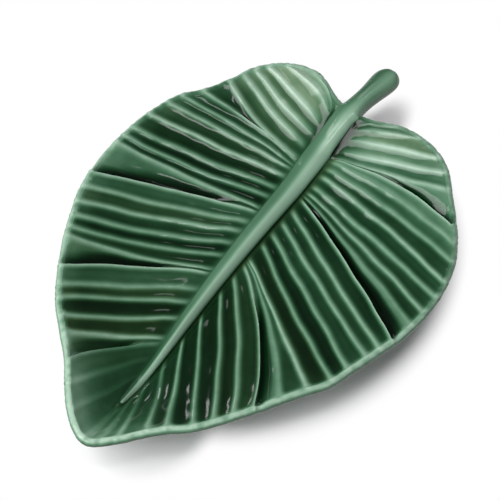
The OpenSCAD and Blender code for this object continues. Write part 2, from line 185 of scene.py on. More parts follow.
# How far off the veins, out of 1, the glaze of a flute and of a fold is full, how full a flute of no
# width is, and the width from which that is no less
FULL_AT, NARROW_FILL, NARROW_W = (0.66, 0.95), 0.45, 2
# Share of its reach over which a crease is full, the most that it takes of the fold's width, and the
# share of its reach left in the closing fold
CREASE_FULL, CREASE_MOST, CLOSING_CREASE = 0.35, 0.6, 0.4
# Streaks along the flutes: how often across and along, and their depth
STREAK_RUNS, STREAK_DEPTH = (4.3, 1.6), 0.22
# Dark streak in a fold, pooled glaze with painted shade: its depth, its place across it and its half
# width
SHADE_STREAK, SHADE_STREAK_AT, SHADE_STREAK_W = 0.9, 0.45, 0.4
# Reach of the glaze gathered at the roots, of what the lobe's roots add, and of the olive tint there,
# and the share of a line over which the flutes' olive tint comes in
ROOT_REACH, LOBE_ROOT_REACH, OLIVE_ROOT_REACH, OLIVE_FROM = 1.4, 5, 1.6, 0.2
# Depth in the tip, where it begins on the way from the lip and over what length, and its power there
TIP_GLAZE, TIP_DEEPENS, TIP_POWER = 2.9, (1.2, 13), 0.7
# Depth along the lip's inner side, how far veins that run over the lip keep that off, and the reach
# over which the glaze is thinner near the lip
LIP_EDGE, LIP_EDGE_KEPT_OFF, LIP_REACH = 0.5, 0.85, 5.5
# Depth round the lip by angle, from the outer foot over the top to the inner shoulder, what drops add
# to it, and the share of a flute's glaze that runs over the lip
LIP_GLAZE = ((-35, 2.6), (10, 1.6), (50, 0.1), (95, -0.15), (125, 0.4))
LIP_DROPS, FLUTE_OVER_LIP = 0.35, 0.8
# Angle at which that glaze begins and the turn over which it comes in full, the angle from which the
# lip sinks with the flutes, and the share by which the rest of the lip does
GLAZE_OVER_LIP, SINKS_FROM, REST_SINKS = (35, 68.75), 70, 0.3
# Depth underneath, and the power of the underside's sweep up to the lip
UNDER_GLAZE, UNDER_POWER = 1.6, 1.8
# Share of its depth left where the blade's glaze drifts thinnest, what drift adds, the depth of its
# mottling, and the depth that lies everywhere
# Where the glaze is thin, as on the lip, the mottling also makes pale specks that are painted glints
DRIFTED_THIN, DRIFT, MOTTLING_AND_GLINTS, EVERYWHERE = 0.78, 0.44, 0.4, 0.18

# Waves that unevenness is made of: their pitches along X and Y, and how far each shifts with the phase
WAVES = ((2.1, 1.3, 1), (-1.4, 2.6, 2.3), (3.2, -0.7, 3.1))
# Unevenness of clay and glaze, each with its reach in millimetres and a phase of its own
SWAY_X, SWAY_Y, RISE_AND_FALL = (6.5, 0.4), (6.5, 1.9), (2.6, 0.9)
LIP_SWAY, LIP_BUMPS, STREAKS, DROPS = (3.0, 0.7), (0.7, 2.9), (1.0, 0.3), (1.1, 1.3)
# Shares of a line at its root and at the lip over which it comes to sway, and how much the mesh's rows
# crowd at the midrib and its columns at the veins
SWAYS_FROM, SWAYS_TO, ROWS_CROWD, COLUMNS_CROWD = 0.15, 0.12, 1.25, 0.6

# Section of the midrib over its seat: shares of its half width and of its height, left to right
RIB_SECTION = (
    (-1.02, 0.14), (-1.06, 0.48), (-0.92, 0.7), (-0.35, 0.85), (0.13, 0.98),
    (0.25, 0.98), (0.82, 0.66), (1.05, 0.38), (1.02, 0.14),
)
# Depth of its glaze, from the left corner of the seat over the top to the right and back to the left
# Thick at the feet, where glaze pools; thin on the right facet as painted light and thicker on the left
# as painted shade
RIB_GLAZE_AND_LIGHT = (2.8, 2.2, 1.6, 1.35, 1.2, 0.5, 0.25, 0.45, 0.8, 2.2, 2.8, 2.8)
# Glaze added on the stem, and on the left flank towards the tip: the flank's places in a ring, the Y
# from which it thickens and the length over which it does
STEM_GLAZE, FLANK_GLAZE, FLANK_PLACES, FLANK_FROM, FLANK_RUN = 0.45, 0.9, 5, -10, 30
# Share of the midrib's height left at its tip, the length over which it rises from there, and the length
# over which its section turns into the stem's
TIP_SHARE, RIB_RISES, STEM_BLEND = 0.25, 30, 12
# Rings of the midrib along its seat and over the notch, and the least height over its seat
SEAT_RINGS, NOTCH_RINGS, LEAST_RIB = 90, 12, 0.05
# Section of the free stem, its first and last points being the edges of the flat underneath
STEM_SECTION = (
    (-0.45, 0), (-0.85, 0.16), (-1, 0.46), (-0.86, 0.8), (-0.42, 1), (0, 0.94),
    (0.42, 1), (0.86, 0.8), (1, 0.46), (0.85, 0.16), (0.45, 0),
)
# Stations of the free stem: share of its length, and of the width of the club
STEM_STATIONS = (
    (0.08, 0.82), (0.2, 0.76), (0.35, 0.76), (0.5, 0.82), (0.64, 0.92), (0.77, 1),
    (0.87, 0.96), (0.94, 0.78), (0.98, 0.51), (1, 0.22),
)
# Share of the stem's length at which it begins to thin to its end, and the share over which it does
END_THINS = (0.7, 0.3)

# Ovals on the floor that keep the shadow, for the blade, the tip and the stem: middle, half width and
# half length, and the shares of these at which the floor begins to turn white and is white
SHADOW_OVALS = ((-1, 6, 44, 50, 0.93, 1.11), (-1, -45, 18, 19, 0.86, 1.16), (1, 56, 5, 10, 0.5, 1.4))
# Width of the floor, and radius and height of the round backdrop, in metres
FLOOR_W = 40.0
BACKDROP_R, BACKDROP_H = 18.0, 1.6
# Lamps: turn from the camera, height above the horizon, distance and size, in degrees and metres
LAMPS = {
    "softbox": (-66, 48, 0.8, (0.75, 0.75)),
    "strip": (0, 78, 0.8, (0.34, 0.1)),
    "window": (172, 55, 0.9, (0.14, 0.1)),
    "low_window": (-160, 18, 1.0, (0.14, 0.07)),
}


def mix(a, b, s):
    """Straight blend."""
    return a + (b - a) * s


def smooth(s):
    """Smooth step from 0 to 1."""
    c = np.clip(s, 0, 1)
    return c * c * (3 - 2 * c)


def ramp(x, start, run):
    """Smooth rise from 0 at start to 1 a run farther on."""
    return smooth((x - start) / run)


def bell(distance, reach):
    """1 at no distance, falling off round about the reach."""
    return np.exp(-(distance / reach) ** 2)


def curve(table, x):
    """Smooth curve through the (key, value) rows of a table, at an array of keys."""
    rows = np.array(table, float)
    x = np.asarray(x, float)
    key, value = rows[:, 0], rows[:, 1]
    step = np.diff(key)
    secant = np.diff(value) / step
    inner = (secant[:-1] * step[1:] + secant[1:] * step[:-1]) / (step[:-1] + step[1:])
    slope = np.concatenate([secant[:1], inner, secant[-1:]])
    i = np.clip(np.searchsorted(key, x, side="right") - 1, 0, len(key) - 2)
    s = (x - key[i]) / step[i]
    rise, run = s * s * (3 - 2 * s), step[i]
    return (
        mix(value[i], value[i + 1], rise)
        + run * slope[i] * s * (1 - s) ** 2
        - run * slope[i + 1] * s * s * (1 - s)
    )


def with_heights(p, z):
    """Plan points with their heights."""
    return np.concatenate([p, z[..., None]], axis=-1)


def unit(v):
    """Rows of v at length one."""
    return v / np.linalg.norm(v, axis=-1, keepdims=True)


def rotated(v):
    """Rows of v turned a quarter to the left."""
    return np.stack([-v[..., 1], v[..., 0]], axis=-1)


class LeafForm:
    """The leaf in millimetres: its plan, its heights and its glaze, placed and sized by the frame."""

    def __init__(self, sizes):
        self.sizes = sizes
        low, high = (np.array(c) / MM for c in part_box("leaf_blade"))
        rib_low, rib_high = (np.array(c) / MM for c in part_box("stem_midrib"))
        self.rim_h, self.foot_h, self.floor_z = high[2], low[2], rib_low[2]
        self.stem_top, self.stem_end = rib_high[2], rib_high[1]
        # The outline is drawn as the tables have it; scale and origin then fit it to the blade's box
        self.scale = np.ones(2)
        outline = np.concatenate([self.rim(s, np.linspace(NOTCH_START, 180, 400)) for s in (-1, 1)])
        self.scale = (high[:2] - low[:2]) / np.ptp(outline, axis=0)
        self.origin = low[:2] - outline.min(axis=0) * self.scale
        self.seat_top = SEAT_TOP_Y * self.scale[1]
        self.seat_end = SEAT_END_Y * self.scale[1]
        shoulder = math.radians(sizes.lip_shoulder)
        self.lip_h = self.rim_h - sizes.lip_r * (1 - math.sin(shoulder))
        self.lip_in = sizes.lip_r * (1 - math.cos(shoulder))
        self.tables = {side: self.vein_table(side) for side in (-1, 1)}
        self.flutes = len(VEINS_LEFT) + 1

    def rim(self, side, bearing):
        """Points of the rim's outermost line at these bearings."""
        b = np.radians(bearing)
        r = curve(SIDES[side].rim, bearing)
        return np.stack([side * r * np.sin(b), r * np.cos(b)], axis=-1) * self.scale

    def rim_out(self, side, bearing):
        """Outward directions of the rim."""
        ahead = self.rim(side, np.minimum(bearing + 1, LAST_BEARING))
        return unit(rotated(ahead - self.rim(side, bearing - 1))) * side

    def rib_x(self, y):
        """Middle of the midrib."""
        return curve(RIB_LINE, y / self.scale[1]) * self.scale[0]

    def rib_half(self, y):
        """Half the width of the midrib's seat."""
        share = np.clip((y - self.seat_end) / (self.seat_top - self.seat_end), 0, 1)
        return mix(self.sizes.rib_end_w, self.sizes.rib_w, share ** SEAT_TAPER) / 2

    def seat_z(self, y):
        """Height of the floor under the midrib."""
        to_end = np.minimum(self.seat_top + NOTCH_RUN_OUT - y, y - self.seat_end + TIP_RUN_OUT)
        s = np.clip(to_end / END_REACH, 0, 1)
        return self.lip_h - (self.lip_h - self.floor_z) * (1 - (1 - s) ** 2)

    def vein_table(self, side):
        """The veins of one side with the notch and the tip added as first and last rows."""
        y = curve(SIDES[side].rim, NOTCH_START) * self.scale[1]
        x = side * self.rib_x(y) + self.rib_half(self.seat_top)
        notch = math.degrees(math.atan2(x / self.scale[0], y / self.scale[1]))
        first, last = (SEAT_TOP_Y, notch, *NOTCH_ROW), (SEAT_END_Y, TIP_BEARING, *TIP_ROW)
        return np.array([first, *SIDES[side].veins, last], float)

    def lines(self, side, t):
        """Root, bend, tip, outward direction and rim end of the lines at vein numbers t."""
        rows, keys = self.tables[side], np.arange(self.flutes + 1)
        y = np.interp(t, keys, rows[:, ROOT_Y]) * self.scale[1]
        root = np.stack([self.rib_x(y) + side * self.rib_half(y), y], axis=-1)
        bearing = np.interp(t, keys, rows[:, BEARING])
        out, rim_end = self.rim_out(side, bearing), self.rim(side, bearing)
        tip = rim_end - out * self.lip_in
        bow = np.interp(t, keys, rows[:, BOW])[:, None] * 2 * self.scale[1]
        bend = (root + tip) / 2 + unit(rotated(tip - root)) * side * bow
        return root, bend, tip, out, rim_end

    @staticmethod
    def along(line, u):
        """Points at shares u of the way out along lines, as an array of lines by shares."""
        root, bend, tip = (p[:, None, :] for p in line[:3])
        u = np.asarray(u)[None, :, None]
        return (1 - u) ** 2 * root + 2 * u * (1 - u) * bend + u * u * tip

    def spots(self, side, t, u):
        """What the upper face's heights and glaze follow, on lines t at shares u of the way out."""
        s = self.sizes
        line = self.lines(side, t)
        at = SimpleNamespace(side=SIDES[side], t=t[:, None], share=u[None, :], line=line)
        at.place = self.along(line, u)
        at.reach = np.linalg.norm(at.place - line[0][:, None, :], axis=-1)
        at.to_lip = np.linalg.norm(at.place - line[2][:, None, :], axis=-1)
        at.lobe = 1 - ramp(at.t, *LOBE_ENDS)
        at.tipward = ramp(at.t, *TIP_WALL)
        at.runs_over = self.runs_over(side, at.t)

        i = np.minimum(np.floor(t).astype(int), self.flutes - 1)
        above, below = (self.along(self.lines(side, i + k), u) for k in (0.0, 1.0))
        at.width = np.linalg.norm(below - above, axis=-1)
        at.f = (t - i)[:, None]
        at.row = self.tables[side][i][..., None]
        after = self.tables[side][i + 1][..., None]
        at.bold = mix(at.row[:, BOLD], after[:, BOLD], np.round(at.f))
        at.closing = ((i == CLOSING_FOLD[1]) & (side == CLOSING_FOLD[0]))[:, None]
        folded = np.where(at.row[:, FOLD_AT] < 1, 1.0, 0.0)
        opened = folded * smooth((at.share - at.row[:, FOLD_AT]) / s.fold_opening)
        at.fold = opened * np.where(at.closing, 1 - CLOSES_BY * ramp(at.share, *CLOSES), 1)

        in_middle = np.sin(np.pi * at.f) ** 2
        spread = mix(mix(at.side.lip_spread, RUN_OVER_SPREAD, at.runs_over), TIP_SPREAD, at.tipward)
        scallop = SCALLOP - SCALLOP_DIP * in_middle * (1 - at.tipward)
        at.near_lip = 1 - smooth(at.to_lip / (s.lip_fade * spread * scallop))
        at.fill = self.fill(at)
        return at

    def fill(self, at):
        """How far the flutes are filled with glaze: not at all on a vein, fully in the middle."""
        # The wider band above a vein is partly painted light on the flank that faces the stem
        below, above = (
            mix(np.minimum(over_crest * self.sizes.crest_w, most * at.width), in_fold, lies_against)
            for (over_crest, most, in_fold), lies_against in (
                (THIN_BELOW, at.fold * at.closing), (THIN_AND_LIT_ABOVE, at.fold * ~at.closing),
            )
        )
        off_veins = (1 - bell(at.f * at.width, below)) * (1 - bell((1 - at.f) * at.width, above))
        narrow = mix(NARROW_FILL, 1, smooth(at.width / NARROW_W))
        return np.minimum(off_veins / mix(*FULL_AT, at.fold), 1) * narrow

    def upper_z(self, at):
        """Heights of the upper face: the bowl, the flutes and folds sunk in it, and the veins' tops."""
        s = self.sizes
        bowl = mix(self.seat_z(at.line[0][:, 1])[:, None], self.lip_h, at.share ** s.bowl_power)
        bowl = bowl + s.vein_rise * (1 - bell(at.reach, s.channel_reach)) * (1 - at.share ** RISE_END)
        plain = np.minimum(s.flute_max, s.flute_share * at.width) * at.row[:, WEIGHT]
        deep = mix(plain, np.minimum(s.fold_d, FOLD_STEEPEST * at.width), at.fold)
        lean = mix(s.flute_lean, np.where(at.closing, CLOSING_LEAN, FOLD_LEAN), at.fold)
        hollow = np.sin(np.pi * at.f ** lean) ** mix(FLUTE_ROUNDING, 1, at.fold)
        to_vein = np.minimum(at.f, 1 - at.f) * at.width
        top = bell(to_vein, s.crest_r * mix(*TOP_SPREAD, at.bold))
        off_root = smooth(at.reach / np.minimum(s.root_fade, SHORT_ROOT * at.to_lip + at.reach))
        off_lip = mix(1, mix(s.lip_scallop, RUN_OVER_DEPTH, at.runs_over), at.near_lip)
        lifted = s.crest_lift * (at.bold - PLAIN_BOLD) * top
        return bowl + (lifted - deep * hollow) * off_root * off_lip

    def upper_glaze_and_painted_light(self, at):
        """Depth of the glaze on the upper face, with painted shade, sheen and light in it."""
        # The crease and the streak in a fold are partly pooled glaze and partly painted shade
        to_crease = np.where(at.closing, at.f, 1 - at.f) * at.width
        reach = self.sizes.crease_shade_w * np.where(at.closing, CLOSING_CREASE, 1)
        crease = 1 - smooth((to_crease - CREASE_FULL * reach) / np.minimum(reach, CREASE_MOST * at.width))
        creased_and_shaded = mix(BESIDE_CREASE, IN_CREASE_AND_SHADE * at.row[:, POOL], crease)
        # On the lobe beside the stem the thinner glaze is partly painted sheen
        thin_and_sheen = mix(mix(*THIN, at.bold), mix(*THIN_AND_SHEEN_ON_LOBE, at.bold), at.lobe)
        runs = np.broadcast_arrays(STREAK_RUNS[0] * at.t, STREAK_RUNS[1] * at.share)
        pooled_shade = at.fold * bell((at.f - SHADE_STREAK_AT) * at.width, SHADE_STREAK_W)
        streaks = STREAK_DEPTH * sway(np.stack(runs, axis=-1), *STREAKS) + SHADE_STREAK * pooled_shade
        flute = mix(IN_FLUTE * at.row[:, POOL], creased_and_shaded, at.fold) + streaks
        glaze = mix(thin_and_sheen, flute, at.fill) - LOBE_THINNER_AND_SHEEN * at.lobe * at.fill
        glaze = mix(glaze, at.side.root_glaze, bell(at.reach, ROOT_REACH))
        in_tip = TIP_GLAZE * ramp(at.to_lip, *TIP_DEEPENS) ** TIP_POWER
        glaze = mix(glaze, in_tip, at.side.tip_weight * at.tipward)
        edge = at.near_lip * (1 - LIP_EDGE_KEPT_OFF * at.runs_over) * (1 - at.tipward)
        glaze = mix(glaze, LIP_EDGE, edge) * mix(at.side.lip_share, 1, smooth(at.to_lip / LIP_REACH))
        return glaze + at.side.lobe_root * at.lobe * bell(at.reach, LOBE_ROOT_REACH)

    @staticmethod
    def upper_olive(at):
        """Olive tint of the upper face: in some flutes, and along the roots of the right side."""
        olive = at.row[:, OLIVE] * at.fill * smooth(at.share / OLIVE_FROM) * (1 - at.near_lip)
        return np.maximum(olive, at.side.olive_root * bell(at.reach, OLIVE_ROOT_REACH))

    @staticmethod
    def runs_over(side, t):
        """How far the veins run over the lip: fully near the stem, and less farther on."""
        farther_on = SIDES[side].run_over * (1 - ramp(t, *RUNNING_ENDS))
        return np.maximum(1 - ramp(t, *RUNNING_WANES), farther_on)

    def foot_gap(self, p):
        """How far plan points lie outside the flat round the foot ring."""
        low, high = (np.array(c)[:2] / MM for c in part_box("foot_ring"))
        half = (high - low) / 2
        q = p + self.origin - (low + high) / 2
        beyond = np.maximum(np.abs(q[..., 1]) - (half[1] - half[0]), 0)
        return np.maximum(np.hypot(q[..., 0], beyond) - half[0] - self.sizes.foot_margin, 0)

    def under_z(self, line, u):
        """Height of the underside: flat over the foot ring, then sweeping up to the lip."""
        s = self.sizes
        p = self.along(line, u)
        gap = self.foot_gap(p)
        way = gap / (gap + np.linalg.norm(line[4][:, None, :] - p, axis=-1))
        low_lip = self.rim_h - s.lip_r * (1 - math.sin(math.radians(s.lip_foot)))
        sweep = mix(self.foot_h, low_lip, way ** UNDER_POWER)
        share = np.asarray(u)[None, :]
        top = mix(self.seat_z(line[0][:, 1])[:, None], self.lip_h, share ** s.bowl_power)
        return np.maximum(self.foot_h, np.minimum(sweep, top - s.wall_t + s.vein_rise / 2))


def sway(p, reach, phase):
    """Smooth unevenness of plan points, between -1 and 1, as a hand leaves it in clay."""
    x, y = p[..., 0] / reach, p[..., 1] / reach
    return sum(np.sin(a * x + b * y + c * phase) for a, b, c in WAVES) / len(WAVES)


def named(name):
    """The object just made, with this name for it and its mesh."""
    made = bpy.context.object
    made.name = made.data.name = name
    return made


def grid_skin(name, places, layers):
    """A grid primitive with its corners moved to an array of columns by rows of places, closed up.

    Corners that fall together are merged, so a skin whose last column is its first closes itself, and
    what is still open at its ends is filled.
    """
    columns, rows = places.shape[:2]
    bpy.ops.mesh.primitive_grid_add(x_subdivisions=rows - 1, y_subdivisions=columns - 1, size=1)
    skin = named(name)
    skin.data.vertices.foreach_set("co", (places * MM).astype(np.float32).ravel())
    for layer, values in layers.items():
        spot = skin.data.attributes.new(layer, "FLOAT", "POINT")
        spot.data.foreach_set("value", values.astype(np.float32).ravel())
    bpy.ops.object.mode_set(mode="EDIT")
    bpy.ops.mesh.select_all(action="SELECT")
    bpy.ops.mesh.remove_doubles(threshold=MM * 0.002)
    bpy.ops.mesh.fill_holes(sides=0)
    bpy.ops.mesh.dissolve_degenerate(threshold=MM * 0.001)
    bpy.ops.mesh.normals_make_consistent(inside=False)
    bpy.ops.mesh.select_all(action="DESELECT")
    bpy.ops.object.mode_set(mode="OBJECT")
    return skin


def rest_on_origin(piece):
    """Puts a piece's place into its mesh and leaves it alone in the selection."""
    bpy.ops.object.select_all(action="DESELECT")
    piece.select_set(True)
    bpy.context.view_layer.objects.active = piece
    bpy.ops.object.transform_apply(location=True, rotation=True, scale=True)


def hand_over(piece, node, material, angle=60):
    """Finishes a piece: its material, its smooth faces, and what it stands for."""
    rest_on_origin(piece)
    bpy.ops.object.shade_smooth_by_angle(angle=math.radians(angle))
    piece.data.materials.clear()
    piece.data.materials.append(material)
    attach(piece, BODY)
    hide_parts(node)
    piece.select_set(False)


class Wire:
    """A shader socket on which sums can be written as Python expressions."""

    def __init__(self, shade, socket):
        self.shade, self.socket = shade, socket

    def _maths(self, operation, *values, clamp=False):
        return self.shade.node("Math", dict(operation=operation, use_clamp=clamp), values)

    def __add__(self, other):
        return self._maths("ADD", self, other)

    def __sub__(self, other):
        return self._maths("SUBTRACT", self, other)

    def __rsub__(self, other):
        return self._maths("SUBTRACT", other, self)

    def __mul__(self, other):
        return self._maths("MULTIPLY", self, other)

    def __truediv__(self, other):
        return self._maths("DIVIDE", self, other)

    __radd__ = __add__
    __rmul__ = __mul__

    def clamped(self):
        """The value held between 0 and 1."""
        return self._maths("ADD", self, 0.0, clamp=True)

    def step(self, low, high):
        """0 below low and 1 above high, with a smooth way between."""
        values = {"Value": self, "From Min": low, "From Max": high}
        settings = dict(interpolation_type="SMOOTHSTEP")
        return self.shade.node("MapRange", settings, values, "Result")


class Shade:
    """A material and its nodes."""

    def __init__(self, name):
        self.material = bpy.data.materials.new(name)
        self.material.use_nodes = True
        self.tree = self.material.node_tree
        self.tree.nodes.clear()

    def node(self, kind, settings=None, values=(), out=0):
        """Adds a shader node with its settings and its sockets' values or links; gives its output."""
        made = self.tree.nodes.new("ShaderNode" + kind)
        for key, value in (settings or {}).items():
            if key == "stops":
                self._set_stops(made.color_ramp, value)
            else:
                setattr(made, key, value)
        pairs = values.items() if isinstance(values, dict) else enumerate(values)
        for key, value in pairs:
            if isinstance(value, Wire):
                self.tree.links.new(value.socket, made.inputs[key])
            else:
                made.inputs[key].default_value = value
        return Wire(self, made.outputs[out]) if len(made.outputs) else None

    @staticmethod
    def _set_stops(band, stops):
        while len(band.elements) < len(stops):
            band.elements.new(1.0)
        for element, (place, colour) in zip(band.elements, stops):
            element.position, element.color = place, (*colour, 1.0)

    def layer(self, name):
        """A value that the mesh carries at each corner."""
        settings = dict(attribute_type="GEOMETRY", attribute_name=name)
        return self.node("Attribute", settings, out="Fac")

    def place(self):
        """The place on the object."""
        return self.node("TexCoord", out="Object")

    def oval(self, middle, half):
        """Distance from the middle of an upright oval column, 1 at its edge."""
        away = self.node("VectorMath", dict(operation="SUBTRACT"), (self.place(), (*middle, 0)))
        share = self.node("VectorMath", dict(operation="DIVIDE"), (away, (*half, 1)))
        return self.node("VectorMath", dict(operation="LENGTH"), (share,), "Value")

    def noise(self, place, scale, detail):
        """Soft noise with this many features to a metre."""
        return self.node("TexNoise", None, {"Vector": place, "Scale": scale, "Detail": detail})

    def blend(self, share, a, b, kind="MIX"):
        """Mixes two colours, which are wires or triples."""
        a, b = (c if isinstance(c, Wire) else (*c, 1.0) for c in (a, b))
        settings = dict(data_type="RGBA", blend_type=kind)
        return self.node("Mix", settings, {0: share, 6: a, 7: b}, 2)

    def bump(self, height, distance, strength):
        """A normal that leans with the height."""
        values = {"Height": height, "Distance": distance, "Strength": strength}
        return self.node("Bump", None, values)

    def finish(self, shader):
        """Wires a shader to the output."""
        self.node("OutputMaterial", None, {"Surface": shader})
        return self.material


def glaze_coat(shade, colour, place, drift, lean):
    """Glossy glaze of this colour: a soft body under a clear coat, with faint ripples."""
    values = {
        "Base Color": colour,
        "Roughness": 0.3 + drift * 0.1,
        "Specular IOR Level": 0.0,
        "Coat Weight": 1.0,
        "Coat Roughness": 0.11,
        "Coat IOR": 1.42,
        "Normal": shade.bump(shade.noise(place, scale=260.0, detail=2.0), 0.2 * MM, lean),
    }
    return shade.finish(shade.node("BsdfPrincipled", None, values, "BSDF"))


def glaze_colour(shade, colours, depth):
    """The clay's colour seen through glaze of this depth, which takes up more of it the deeper it is."""
    shares = np.linspace(0, 1, RAMP_STOPS) ** RAMP_CROWDING
    stops = [
        (share, [c * math.exp(-share * DEEPEST * a) for c, a in zip(colours.body, colours.taken)])
        for share in shares
    ]
    return shade.node("ValToRGB", dict(stops=stops), ((depth / DEEPEST).clamped(),))


def blade_glaze(colours):
    """Green glaze, thin and pale over the veins and lip and pooled dark in the flutes, with painted light
    and shade.
    """
    shade = Shade("blade_glaze")
    place = shade.place()
    drift = shade.noise(place, scale=55.0, detail=3.0)
    mottle_and_glints = shade.noise(place, scale=420.0, detail=3.0)
    drifted = shade.layer("glaze_depth") * (DRIFTED_THIN + drift * DRIFT)
    # Random mottling, which on the thin lip also makes pale specks as painted glints
    depth = drifted + (mottle_and_glints - 0.5) * MOTTLING_AND_GLINTS + EVERYWHERE
    body = glaze_colour(shade, colours, depth)
    olive = shade.blend(1.0, body, colours.olive, "MULTIPLY")
    return glaze_coat(shade, shade.blend(shade.layer("olive_tint"), body, olive), place, drift, 0.25)


def rib_glaze(colours):
    """The same glaze, pooled along the midrib's foot, thin on its right facet as painted light, thick on
    its left as painted shade.
    """
    shade = Shade("rib_glaze")
    place = shade.place()
    drift = shade.noise(place, scale=70.0, detail=3.0)
    depth = shade.layer("glaze_depth") * (0.8 + drift * 0.4)
    return glaze_coat(shade, glaze_colour(shade, colours, depth), place, drift, 0.2)


def foot_clay(colours, line_height):
    """Bare clay below the line at which the glaze was wiped off, and glaze above it."""
    shade = Shade("foot_clay")
    place = shade.place()
    grit = shade.noise(place, scale=1800.0, detail=4.0)
    waver = shade.noise(place, scale=120.0, detail=2.0)
    height = shade.node("SeparateXYZ", None, (place,), "Z")
    wavered = height + (waver - 0.5) * (0.6 * MM)
    glazed = wavered.step(line_height - 0.1 * MM, line_height + 0.1 * MM)
    clay = shade.blend(grit, colours.clay, colours.clay_grit)
    values = {
        "Base Color": shade.blend(glazed, clay, glaze_colour(shade, colours, 1.5 + waver)),
        "Roughness": 0.85 - glazed * 0.6,
        "Coat Weight": glazed,
        "Coat Roughness": 0.03,
        "Normal": shade.bump(grit * (1.0 - glazed), 0.1 * MM, 0.5),
    }
    return shade.finish(shade.node("BsdfPrincipled", None, values, "BSDF"))


def floor_paper(colour, lift, origin):
    """Pale paper that keeps the dish's shadow around it and shows plain white farther off."""
    shade = Shade("floor_paper")
    far_off = 1.0
    for x, y, half_x, half_y, near, far in SHADOW_OVALS:
        distance = shade.oval((origin[0] + x * MM, origin[1] + y * MM), (half_x * MM, half_y * MM))
        far_off = distance.step(near, far) * far_off
    paper = shade.node("BsdfDiffuse", None, {"Color": (*colour, 1.0)}, "BSDF")
    glow = shade.node("Emission", None, {"Color": (*colour, 1.0), "Strength": lift}, "Emission")
    lit = shade.node("AddShader", None, (paper, glow), "Shader")
    white = shade.node("Emission", None, {"Strength": 1.0}, "Emission")
    shown = shade.node("MixShader", None, {0: far_off, 1: lit, 2: white}, "Shader")
    rays = [shade.node("LightPath", None, (), name)
            for name in ("Is Camera Ray", "Is Glossy Ray", "Is Transmission Ray")]
    seen = (rays[0] + rays[1] + rays[2]).clamped()
    return shade.finish(shade.node("MixShader", None, {0: seen, 1: paper, 2: shown}, "Shader"))


def number(name, description, default):
    """A number that the user can change."""
    return FloatProperty(name=name, description=description, default=default)


def triple(name, description, default, subtype="COLOR"):
    """Three numbers that the user can change, a colour unless said otherwise."""
    return FloatVectorProperty(name=name, description=description, default=default, subtype=subtype)


class LeafSizes(bpy.types.PropertyGroup):
    """Sizes of the leaf in millimetres, with its angles in degrees, its shares and its mesh steps."""

    lip_r: number("Lip radius", "Radius of the rolled lip", 1.1)
    lip_shoulder: number("Lip shoulder", "Angle at the lip's inner side", 125)
    lip_foot: number("Lip foot", "Angle at the lip's outer foot", -35)
    rib_w: number("Midrib width", "Width where it leaves the blade", 6.2)
    rib_end_w: number("Midrib end", "Width near the tip", 1.0)
    rib_h: number("Midrib height", "Height above its seat", 2.4)
    club_w: number("Stem club", "Width of the stem's rounded end", 7.2)
    stem_t: number("Stem thickness", "Thickness beyond the blade", 4.9)
    stem_ease: number("Stem ease", "Ease of the bend into the stem", 1.4)
    bowl_power: number("Bowl sweep", "Power of the floor's sweep", 2.0)
    vein_rise: number("Vein rise", "Rise out of the channel", 0.9)
    channel_reach: number("Channel reach", "Width of that rise", 3.0)
    flute_share: number("Flute share", "Depth as a share of width", 0.14)
    flute_max: number("Flute depth", "Greatest plain depth", 0.4)
    fold_d: number("Fold depth", "Depth under a fold", 1.5)
    fold_opening: number("Fold opening", "Share of the length over which a fold opens", 0.25)
    flute_lean: number("Flute lean", "Below 1 a flute's bottom nears the upper vein", 0.85)
    lip_fade: number("Lip fade", "Reach over which flutes end at the lip", 1.4)
    root_fade: number("Root fade", "Reach over which flutes begin", 7.0)
    crest_w: number("Crest width", "Half width of the thin glaze over a vein", 1.15)
    # The dark glaze in a fold is partly pooled glaze and partly painted shade
    crease_shade_w: number("Crease width", "Reach of the dark glaze in a fold", 3.0)
    crest_r: number("Crest radius", "Half width of a vein's top", 0.7)
    crest_lift: number("Crest lift", "Extra height of a bold vein", 0.2)
    lip_wave: number("Lip wave", "Unevenness of the lip", 0.12)
    lip_bumps: number("Lip bumps", "Small bumps of the lip", 0.16)
    lip_scallop: number("Lip scallop", "Share of a flute's depth left at the lip", 0.6)
    wall_t: number("Wall", "Least thickness of the wall", 3.2)
    foot_margin: number("Foot margin", "Flat around the foot ring", 1.0)
    foot_wall: number("Foot wall", "Thickness of the foot ring", 3.0)
    foot_ease: number("Foot edge", "Rounding of the foot ring's edges", 0.5)
    glaze_line: number("Glaze line", "Height up to which the foot is wiped bare", 1.1)
    unevenness: number("Unevenness", "Sideways sway of the veins", 0.25)
    ripple: number("Ripple", "Rise and fall along the veins", 0.07)
    flute_steps: IntProperty(name="Columns", description="Mesh columns to a flute", default=12)
    top_rows: IntProperty(name="Rows", description="Mesh rows from midrib to lip", default=60)
    lip_rows: IntProperty(name="Lip rows", description="Mesh rows round the lip", default=14)
    under_rows: IntProperty(name="Under rows", description="Mesh rows underneath", default=18)


class GlazeColours(bpy.types.PropertyGroup):
    """Colours of the glaze and the clay."""

    body: triple("Body", "Clay under the glaze", (0.5, 0.67, 0.54))
    taken: triple("Taken up", "How fast the glaze takes up each colour", (1.45, 1.0, 1.27), "NONE")
    olive: triple("Olive", "Tint of some flutes", (1.7, 1.0, 0.8), "NONE")
    clay: triple("Clay", "Bare clay", (0.62, 0.54, 0.42))
    clay_grit: triple("Grit", "Darker grains of the clay", (0.44, 0.36, 0.26))


